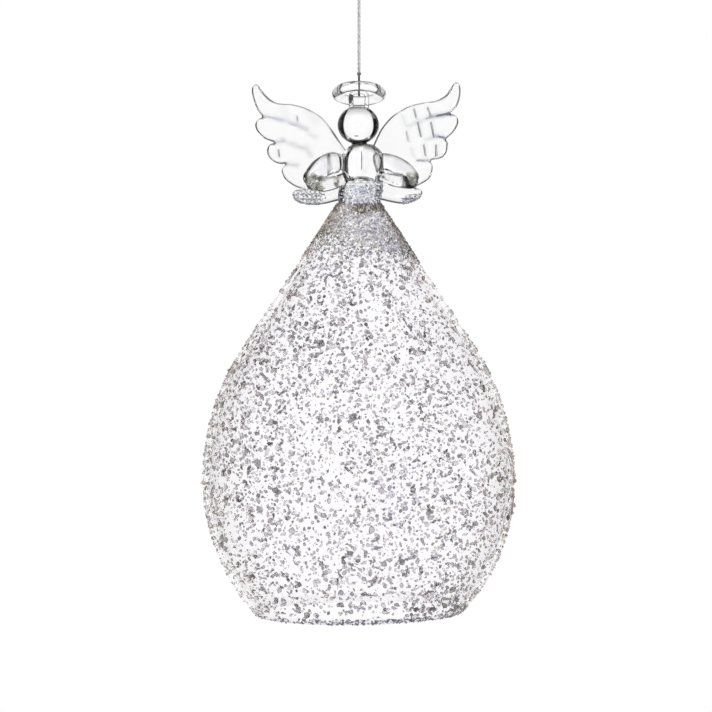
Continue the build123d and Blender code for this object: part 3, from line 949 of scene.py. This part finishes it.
# Each mark is how much of it a point takes, and the colour that it multiplies the glass by.
marks = [
    # Painted shade: the head's dark lower rim, its crescents and its lower-left rim.
    (rise(from_head, 0.73, 0.04) * between(-lift_angle, 48, 132, 8) * on_head, 0.06),
    (crescent * between(lift_angle, -50, 66, 6) * on_head, 0.04),
    (rise(from_head, 0.76, 0.04) * between(-lift_angle, 126, 182, 8) * on_head, 0.25),
    (np.clip(2 - 2 * ((px + 0.7) / 0.7) ** 2 - 2 * ((pz - 128.3) / 0.24) ** 2, 0, 1) * in_front, 0.12),
    # Painted shade: the chest greyer, most on its right, with a dark band down its right edge, and a dark band
    # at the neck.
    (in_bust * between(px, 0.7, 6, 0.3), (0.9, 0.9, 0.925)),
    (in_bust * between(px, -5, -1.2, 1.2), (0.96, 0.96, 0.98)),
    (between(from_bust, 0.62, 1.2, 0.12) * between(px, 1.3, 6.75, 0.5) * between(pz, 119.5, 127, 1.0), 0.4),
    (between(pz, 125.9, 127.15, 0.25) * between(px, -3.6, 3.4, 0.5), 0.15),
    (hump(pz, 115.95, 0.3) * in_front * between(px, -2.2, 4.6, 0.4) * (0.5 + 0.5 * np.sin(px * 3.3)), 0.15),
    (left_elbow, elbow_colour),
    (right_elbow, elbow_colour),
    (between(px, -8.75, -7.55, 0.3) * between(pz, 117.4, 123.6, 0.4) * cuff_depth, 0.08),
    (hump(pz + 0.148 * (px - 6.2), 118.4, 0.24) * between(px, 5.8, 11.9, 0.4), 0.35),
    (hump(px + 0.1 * (pz - 116) ** 2, 11.9, 0.42) * between(pz, 114.0, 118.1, 0.5), 0.2),
    (forearm_seam * between(px, 6.6, 10.8, 0.4) * (0.5 + 0.5 * np.sin(px * 5)), 0.2),
    # Painted shade down the right edge of the waist.
    (between(px, 5.0, 6.2, 0.3) * between(pz, 111.4, 115.4, 0.6), 0.35),
    (blob(-12.1, 117.2, 0.7, 0.35) * in_front, 0.12),
    (blob(-10.65, 116.3, 0.4, 0.5) * in_front, 0.12),
    (blob(-11.5, 114.2, 0.4, 0.6) * in_front, 0.12),
    (blob(-1.1, 125.3, 0.9, 0.7) * in_front, (0.6, 0.58, 0.5)),
    (blob(-5.8, 117.0, 0.9, 0.6) * in_front, (0.3, 0.25, 0.2)),
    # Painted shade: near-black spots where the forearms meet the body, and dark spots on the left edge of the
    # waist.
    (np.minimum(1, 1.6 * blob(6.5, 117.2, 0.45, 0.45)) * in_front, 0.05),
    (np.minimum(1, 1.5 * blob(-6.35, 115.5, 0.4, 0.5)) * in_front, 0.06),
    (np.minimum(1, 1.5 * blob(-5.0, 113.2, 0.9, 1.1)), 0.12),
    (np.minimum(1, 1.5 * blob(-4.1, 110.9, 0.7, 0.5)), 0.12),
]
stain_and_shade = np.ones((len(points), 3))
for share, colour in marks:
    stain_and_shade *= 1 - share[:, None] * (1 - np.asarray(colour))
upper_arms = (rise(np.abs(px - 1), 8.0, 0.6) * rise(pz, 117.5, 0.8))[:, None]
stain_and_shade *= 1 - upper_arms * (0.06, 0.07, 0.035)
paint(body, stain_and_shade)
arms = ("left_upper_arm", "left_forearm", "right_upper_arm", "right_forearm")
assign(body, "angel", "clear_glass", "waist", "bust", "neck", "head", *arms)

# ---------------- wings
wing_sweep = math.radians(14)
wing_root_x = 1.6
wing_root_y = 4.9
wing_half = 1.1
# Each outline starts at the root, runs over the top to the tip and comes back round the five feathers.
wing_outlines = {
    "left": [
        (2.2, 122.2), (4.6, 125.6), (5.7, 127.3), (7.5, 129.9), (10.2, 133.0), (13.8, 135.2),
        (17.8, 136.4), (21.8, 136.7), (24.1, 137.8), (26.3, 140.1), (27.3, 141.5), (28.1, 141.8),
        (28.9, 141.1), (29.1, 139.8), (28.6, 137.6), (28.0, 135.9), (27.2, 134.3), (26.2, 133.0),
        (27.4, 132.3), (28.2, 130.8), (27.4, 128.8), (25.3, 126.9), (22.9, 126.0), (24.3, 125.5),
        (25.0, 123.9), (24.5, 122.2), (23.2, 120.9), (21.3, 120.2), (19.8, 120.3), (20.8, 119.1),
        (20.9, 117.8), (19.9, 116.0), (17.6, 114.3), (15.5, 113.4), (17.2, 113.2), (17.9, 112.0),
        (17.1, 110.3), (15.0, 109.5), (12.4, 109.2), (9.4, 109.5), (6.2, 110.3), (3.2, 111.0),
    ],
    "right": [
        (2.2, 122.0), (3.9, 125.6), (4.9, 127.8), (6.3, 130.3), (9.0, 133.3), (12.2, 135.3),
        (14.4, 136.3), (18.0, 137.0), (21.1, 137.5), (23.6, 139.0), (25.1, 141.2), (26.0, 142.3),
        (26.9, 142.2), (27.5, 141.0), (27.4, 138.3), (26.5, 135.8), (24.8, 133.9), (26.1, 133.5),
        (26.9, 132.4), (26.8, 130.9), (25.6, 128.8), (23.6, 126.9), (24.1, 126.0), (23.8, 123.5),
        (22.3, 121.8), (19.5, 121.2), (20.0, 119.6), (19.6, 117.2), (18.2, 115.6), (15.2, 113.9),
        (16.6, 113.5), (17.2, 112.4), (16.3, 111.0), (14.2, 109.9), (11.7, 109.5), (8.2, 110.1),
        (5.5, 110.8), (3.2, 111.4),
    ],
}
# Pressed lines between the feathers, and fainter ones across them, as depth, width and points.
wing_grooves = {
    "left": [
        (0.6, 0.5, [(26.2, 133.0), (23.5, 132.8), (20.8, 132.1)]),
        (0.4, 0.45, [(19.4, 131.9), (17.3, 131.3)]),
        (0.35, 0.4, [(16.8, 133.3), (16.6, 131.9)]),
        (0.4, 0.45, [(16.3, 130.9), (14.0, 129.9)]),
        (0.22, 0.5, [(13.2, 128.4), (11.6, 127.5)]),
        (0.42, 0.5, [(22.9, 126.0), (20.6, 126.6)]),
        (0.25, 0.55, [(20.9, 126.8), (18.6, 125.8)]),
        (0.28, 0.55, [(17.6, 125.7), (15.4, 124.6)]),
        (0.25, 0.6, [(14.3, 124.8), (13.0, 122.6)]),
        (0.5, 0.5, [(20.0, 120.3), (18.4, 120.2), (16.8, 120.0)]),
        (0.4, 0.4, [(21.8, 124.1), (21.7, 122.3)]),
        (0.4, 0.5, [(15.4, 113.5), (13.4, 113.8)]),
        (0.12, 0.8, [(14.0, 134.6), (11.6, 131.8)]),
        (0.1, 0.9, [(20.6, 135.4), (19.6, 133.2)]),
        (0.2, 0.3, [(26.2, 133.0), (24.2, 132.8), (22.6, 132.6)]),
        (0.4, 0.35, [(18.7, 131.2), (17.0, 130.7)]),
        (0.32, 0.35, [(16.1, 130.2), (15.2, 129.6), (14.1, 129.3)]),
        (0.22, 0.35, [(17.2, 124.7), (16.2, 125.2), (15.3, 124.7)]),
        (0.2, 0.35, [(14.0, 124.2), (13.1, 122.9)]),
    ],
    "right": [
        (0.7, 0.5, [(24.8, 133.9), (22.4, 133.5), (20.2, 133.2)]),
        (0.25, 0.5, [(18.8, 132.9), (16.6, 131.8)]),
        (0.25, 0.5, [(15.4, 131.6), (13.6, 130.6)]),
        (0.5, 0.45, [(23.6, 126.9), (21.4, 128.0)]),
        (0.3, 0.45, [(20.6, 127.6), (18.2, 126.9)]),
        (0.6, 0.4, [(19.5, 121.2), (18.6, 121.2)]),
        (0.6, 0.4, [(17.8, 121.2), (15.8, 121.3)]),
        (0.4, 0.5, [(15.0, 114.0), (12.4, 114.2)]),
        (0.5, 0.42, [(18.6, 135.4), (19.4, 133.3)]),
        (0.6, 0.42, [(19.5, 131.4), (20.3, 127.6)]),
        (0.5, 0.42, [(20.9, 125.3), (21.0, 122.4)]),
        (0.42, 0.42, [(14.9, 135.2), (15.5, 132.8)]),
        (0.55, 0.42, [(15.9, 131.6), (16.8, 127.8)]),
        (0.45, 0.42, [(17.6, 125.4), (18.0, 122.6)]),
        (0.3, 0.42, [(11.7, 133.4), (12.6, 130.6)]),
        (0.35, 0.42, [(12.8, 129.2), (13.4, 126.4)]),
        (0.3, 0.42, [(14.1, 124.6), (14.7, 122.4)]),
        (0.9, 0.3, [(24.9, 134.1), (23.2, 133.7), (21.0, 133.3)]),
        (0.8, 0.3, [(23.7, 126.9), (22.6, 127.5), (21.6, 127.6)]),
        (0.6, 0.3, [(19.8, 133.0), (18.2, 132.6)]),
    ],
}


def distance_to_line(points, line):
    """How far each point is from a line of straight pieces."""
    best = np.full(len(points), 1e9)
    for start, end in zip(line[:-1], line[1:]):
        run = end - start
        share = np.clip(((points - start) @ run) / (run @ run), 0, 1)
        best = np.minimum(best, np.linalg.norm(points - start - share[:, None] * run, axis=1))
    return best


def in_wing(points):
    """Points seen from the front, as distance along the wing and height."""
    return (np.asarray(points) - (wing_root_x, 0)) / (math.cos(wing_sweep), 1)


def inside_outline(points, outline):
    """Which points lie inside a closed outline."""
    inside = np.zeros(len(points), dtype=bool)
    x, y = points.T
    for (x0, y0), (x1, y1) in zip(np.roll(outline, 1, 0), outline):
        crosses = (y0 > y) != (y1 > y)
        inside ^= crosses & (x < (x1 - x0) * (y - y0) / np.where(y1 == y0, 1, y1 - y0) + x0)
    return inside


for side, outward, seed, glitter_start in (("left", -1, 30, 8.6), ("right", 1, 31, 9.0)):
    along = np.array([outward * math.cos(wing_sweep), math.sin(wing_sweep), 0])
    face_on = np.array([outward * math.sin(wing_sweep), -math.cos(wing_sweep), 0])
    root = np.array([outward * wing_root_x, wing_root_y, 0.0])
    edge = smooth_line(in_wing(wing_outlines[side]), 6)
    rim = np.concatenate([edge, edge[:1]])
    flat = root + edge[:, :1] * along + edge[:, 1:] * UP
    count = len(flat)
    faces = [tuple(range(count)), tuple(range(count, 2 * count))[::-1]]
    for i in range(count):
        j = (i + 1) % count
        faces.append((i, i + count, j + count, j))
    slab = np.concatenate([flat + face_on * wing_half, flat - face_on * wing_half])
    wing = fused(side + "_wing_glass", [(slab, faces)], 0.15, 12, pressed_glass)
    points = mesh_points(wing)
    place = np.stack([(points - root) @ along, points[:, 2]], 1)
    depth = (points - root) @ face_on
    to_edge = distance_to_line(place, rim)
    # The slab thins towards its rim over a width that varies a little round the wing.
    swing = np.arctan2(place[:, 1] - 124, place[:, 0] - 12)
    bevel = 2.1 + 0.5 * np.sin(3 * swing + 1) + 0.35 * np.sin(7 * swing + 2)
    # Lower and outer edges are full and round, the upper ones drawn out thin.
    heading = unit(np.roll(edge, -1, 0) - np.roll(edge, 1, 0))
    climbing = np.clip(2 * heading[:, 1], 0, 1)
    full = 0.35 - 0.95 * heading[:, 0] + 0.12 * np.abs(heading[:, 1])
    full += between(edge[:, 1], 136.8, 141.2, 0.6) * climbing
    if side == "left":
        full += 0.6 * fall(edge[:, 0], 9, 4) * climbing
    full = np.clip(full, 0, 1)
    full = sum(np.roll(full, shift) for shift in range(-5, 6)) / 11
    full = full[[int(((edge - spot) ** 2).sum(1).argmin()) for spot in place]]
    inward = np.clip((to_edge - 0.05) / (bevel * (0.3 + 0.8 * full)), 0.012, 1)
    thin = np.sqrt(1 - (1 - inward) ** 2)
    shade = 1 - 0.4 * full * hump(to_edge, 0, 0.5)
    press = np.zeros(len(points))
    for deep, width, groove in wing_grooves[side]:
        gap = distance_to_line(place, smooth_line(in_wing(groove), 6))
        soft = width > 0.43
        press = np.maximum(press, deep * (0.4 if soft else 1) * hump(gap, 0, width))
        shade -= (0.6 if soft else 0.35) * deep * hump(gap, 0, 1.4 * width)
    press *= rise(to_edge, 0.25, 0.8)
    share = np.clip(depth / (wing_half * 0.8), -1, 1)
    points -= face_on * (depth * (1 - thin) + share * press)[:, None]
    set_mesh_points(wing, points)
    paint(wing, 1 - (1 - np.clip(shade, 0.2, 1))[:, None] * (1.0, 1.0, 0.88))
    softened(wing, 5)
    assign(wing, "angel", "clear_glass", side + "_wing")

    # Glitter on the tip of the lowest feather, in curls.
    source = np.random.default_rng(seed)
    tries = 5200
    place = np.stack([source.uniform(glitter_start, 18.4, tries), source.uniform(109, 113.6, tries)], 1)
    across, up = place.T
    curls = np.sin(across * 2.6 + 2.2 * np.sin(up * 2.1)) * np.sin(up * 2.4 + 1)
    curls = np.clip(1.6 - 3.2 * np.abs(curls), 0, 1)
    if side == "left":
        reach = rise(across, glitter_start, 2) * 0.42
    else:
        reach = rise(across, 11, 2) * fall(up - 0.06 * (across - 14), 112.2, 0.9) * 0.8
    local = in_wing(place)
    kept = source.uniform(0, 1, tries) < reach * (0.12 + 0.88 * curls)
    local = local[inside_outline(local, edge) & kept]
    inward = rise(distance_to_line(local, rim), 0, 0.9)
    lift = wing_half * np.sqrt(np.clip(1 - (1 - inward) ** 2, 0.05, 1)) + 0.05
    places = root + local[:, :1] * along + local[:, 1:] * UP + face_on * lift[:, None]
    tone = source.lognormal(math.log(0.78), 0.35, len(places)).clip(0.3, 1.0)[:, None]
    sizes = source.uniform(0.12, 0.26, len(places))
    glitter = glitter_flakes(side + "_wing_glitter_flakes", places, sizes, tone * (1.0, 1.0, 1.06))
    assign(glitter, "angel", "silver_glitter", side + "_wing_glitter")

# ---------------- halo, its bridge and the hanging eye
halo_lean = math.radians(-21.9)
halo_centre = np.array([0, 0, 139.6])
halo_radius = 5.88
halo_rod = 1.38
halo_steps = 160
halo_around = 44
eye_side = -2.1
deep = np.array([0, math.cos(halo_lean), math.sin(halo_lean)])


def on_halo(turn):
    """Points on the halo's middle line."""
    turn = np.asarray(turn)[..., None]
    return halo_centre + halo_radius * (np.cos(turn) * (1.0, 0, 0) + np.sin(turn) * deep)


turn = circle(halo_steps)
halo_line = on_halo(turn)
halo_widths = halo_rod + 0.05 * np.sin(2 * turn + 1) + 0.03 * np.sin(5 * turn)
halo_points, faces = tube(halo_line, halo_widths, halo_around, closed=True)
halo = mesh_from("halo_glass", halo_points, faces, [painted_shade_glass])
# Painted shade along the underside of the front of the ring.
drop = (halo_line[:, None] - halo_points.reshape(halo_steps, halo_around, 3))[:, :, 2] / halo_rod
front_foot_shade = rise(drop, 0.6, 0.25) * rise(-np.sin(turn)[:, None], 0.3, 0.4)
paint(halo, 1 - 0.8 * front_foot_shade.reshape(-1, 1))

half_eye = [(eye_side, 135.3), (eye_side, 137.2), (eye_side, 138.9), (-1.65, 139.75), (-0.8, eye_bar)]
eye_line = smooth_line(both_sides([(x, 0, h) for x, h in half_eye]), 8)
points, faces = tube(eye_line, 0.62, 24)
eye = mesh_from("eye_glass", points, faces, [painted_shade_glass])
# The left leg of the eye is painted dark: painted shade, as the right leg takes the light.
left_leg_shade = (points[:, 0] < -1.95) & (points[:, 2] > 136.9) & (points[:, 2] < 139.2)
paint(eye, np.where(left_leg_shade, 0.08, 1.0)[:, None])

at_halo = on_halo(math.radians(114)) + (0, -0.3, 0.1)
bridge_line = smooth_line([(eye_side, 0, 138.7), (-2.3, 2.4, 138.3), at_halo], 8)
bridge = mesh_from("halo_bridge_glass", *tube(bridge_line, 0.66, 20), [painted_shade_glass])
# The bridge is painted darker all over: painted shade.
paint(bridge, 0.6)
assign(halo, "angel", "clear_glass", "halo_ring")
assign(eye, "angel", "clear_glass", "hanging_eye")
assign(bridge, "angel", "clear_glass", "halo_stem")

# ---------------- glitter on the waist
source = np.random.default_rng(33)
count = 1700
heights = source.uniform(109.9, 115.2, count)
angles = source.normal(0.15, 0.95, count)
keep = source.uniform(0, 1, count) < np.clip(1.15 - np.abs(angles - 0.15) / 1.7, 0.05, 1)
heights = heights[keep]
angles = angles[keep]
radius = waist_half + waist_bulge * np.sin(math.pi * (heights - waist_foot) / 5.9) + 0.08
places = round_axis(radius, angles, heights, np.array([column_centre(h) for h in heights]))
tone = source.lognormal(math.log(0.9), 0.65, len(places)).clip(0.08, 1.0)[:, None]
sizes = source.uniform(0.12, 0.32, len(places))
waist_glitter = glitter_flakes("waist_glitter_flakes", places, sizes, tone * (1.0, 1.0, 1.1))
assign(waist_glitter, "angel", "silver_glitter", "waist_glitter")

# ---------------- studio
for name, place, size, power in (
    ("key_lamp", (-0.7, -1.0, 0.9), 0.6, 6),
    ("fill_lamp", (1.0, -0.8, 0.4), 0.8, 3),
):
    lamp_data = bpy.data.lights.new(name, "AREA")
    lamp_data.shape = "DISK"
    lamp_data.size = size
    lamp_data.energy = power
    lamp = add_object(name, lamp_data)
    lamp.location = place
    face_along(lamp, aim - Vector(place))


def maths(tree, operation, *values):
    """Arithmetic on plain values or other nodes' outputs."""
    return add_node(tree, "Math", dict(enumerate(values)), operation=operation).outputs[0]


def mixed_shaders(tree, share, first, second):
    """The first shader where the share is nought, the second where it is one."""
    return add_node(tree, "MixShader", {"Fac": share, 1: first, 2: second}).outputs[0]


def ray_kinds(tree):
    """One for the camera's own rays, one for reflected or transmitted ones, one for transmitted ones."""
    kinds = add_node(tree, "LightPath").outputs
    through = kinds["Is Transmission Ray"]
    return kinds["Is Camera Ray"], maths(tree, "MAXIMUM", kinds["Is Glossy Ray"], through), through


# The floor is white to the camera, grey in the glass, and pale and matt for the light that it throws back.
floor_radius = 0.55
floor_level = cad_lowest.z - 0.4
turn = circle(96)
rim = np.stack([floor_radius * np.sin(turn), floor_radius * np.cos(turn), floor_level + 0 * turn], 1)
floor_look, tree, shader = new_material("pale_floor")
floor = mesh_from("floor", rim, [tuple(range(len(rim)))], [floor_look], smooth=False, metres=True)
matt = {"Roughness": 0.9, "Base Color": ramp(tree, noise(tree, 6, 2.0), [(0.3, 0.86), (0.7, 0.9)])}
feed(tree, shader, matt)
to_camera, in_glass, _ = ray_kinds(tree)
white = add_node(tree, "Emission", {"Color": (1, 1, 1, 1), "Strength": 1.0}).outputs[0]
grey = add_node(tree, "Emission", {"Color": (0.3, 0.3, 0.3, 1), "Strength": 1.0}).outputs[0]
bright = mixed_shaders(tree, to_camera, grey, white)
seen = maths(tree, "MAXIMUM", to_camera, in_glass)
surface = mixed_shaders(tree, seen, shader.outputs["BSDF"], bright)
feed(tree, tree.nodes["Material Output"], {"Surface": surface})

world = bpy.data.worlds.new("studio")
bpy.context.scene.world = world
world.use_nodes = True
tree = world.node_tree
tree.nodes.clear()


def step_between(value, low, high, soft):
    """One between two angles in degrees, with soft edges."""
    soft = math.radians(soft)
    steps = []
    for middle, low_side, high_side in ((math.radians(low), 0.0, 1.0), (math.radians(high), 1.0, 0.0)):
        values = {"Value": value, "From Min": middle - soft, "From Max": middle + soft}
        values.update({"To Min": low_side, "To Max": high_side})
        steps.append(add_node(tree, "MapRange", values, interpolation_type="SMOOTHSTEP").outputs[0])
    return maths(tree, "MULTIPLY", *steps)


def by_elevation(stops):
    """A brightness that changes with height above the horizon, in degrees."""
    values = {"Value": elevation, "From Min": -math.pi / 2, "From Max": math.pi / 2}
    share = add_node(tree, "MapRange", values).outputs["Result"]
    return ramp(tree, share, [((degrees + 90) / 180, level) for degrees, level in stops])


# Glass is seen against a white backdrop with dark screens at its sides, and is lit from the camera's side.
direction = add_node(tree, "TexCoord").outputs["Generated"]
split = add_node(tree, "SeparateXYZ", {"Vector": direction}).outputs
azimuth = maths(tree, "ARCTAN2", split["X"], split["Y"])
elevation = maths(tree, "ARCSINE", split["Z"])
backdrop_stops = [(-84, 0.2), (-68, 0.4), (-55, 0.55), (-36, 0.68), (-22, 1.0), (34, 1.0), (40, 0.02)]
backdrop = maths(tree, "MULTIPLY", step_between(azimuth, -34, 33, 2), by_elevation(backdrop_stops))
from_camera = add_node(tree, "VectorMath", {0: direction, 1: back}, operation="DOT_PRODUCT").outputs["Value"]
aside = maths(tree, "DIVIDE", maths(tree, "ARCCOSINE", from_camera), math.pi)
front_stops = [(12, 1.0), (15, 0.15), (21, 0.15), (24, 1.0), (72, 1.0), (84, 0.0)]
front_light = ramp(tree, aside, [(degrees / 180, level) for degrees, level in front_stops])
# Looked through from the sides, the glass is clear too.
side_stops = [(-60, 0.02), (-34, 0.3), (-22, 1.0), (30, 1.0), (38, 0.02)]
side_light = step_between(maths(tree, "ABSOLUTE", azimuth), 78, 116, 3)
side_light = maths(tree, "MULTIPLY", side_light, by_elevation(side_stops))
low_window = [step_between(azimuth, -52, -37, 2), step_between(elevation, -33, -17, 2)]
low_window = maths(tree, "MULTIPLY", *low_window)
to_camera, in_glass, through = ray_kinds(tree)
opened = maths(tree, "MULTIPLY", maths(tree, "MAXIMUM", side_light, low_window), through)
lit = maths(tree, "MAXIMUM", maths(tree, "MAXIMUM", backdrop, front_light), opened)
values = {"Factor": lit, "A": (0.012, 0.012, 0.013, 1), "B": (1, 1, 1, 1)}
pattern = add_node(tree, "Mix", values, data_type="RGBA").outputs["Result"]
glass_sees, white, level_light = (
    add_node(tree, "Background", {"Color": colour, "Strength": strength}).outputs[0]
    for colour, strength in ((pattern, 1.0), ((1, 1, 1, 1), 1.0), ((1, 1, 1, 1), 0.8))
)
not_camera = mixed_shaders(tree, in_glass, level_light, glass_sees)
add_node(tree, "OutputWorld", {"Surface": mixed_shaders(tree, to_camera, not_camera, white)})

bpy.context.scene.view_settings.view_transform = "Standard"
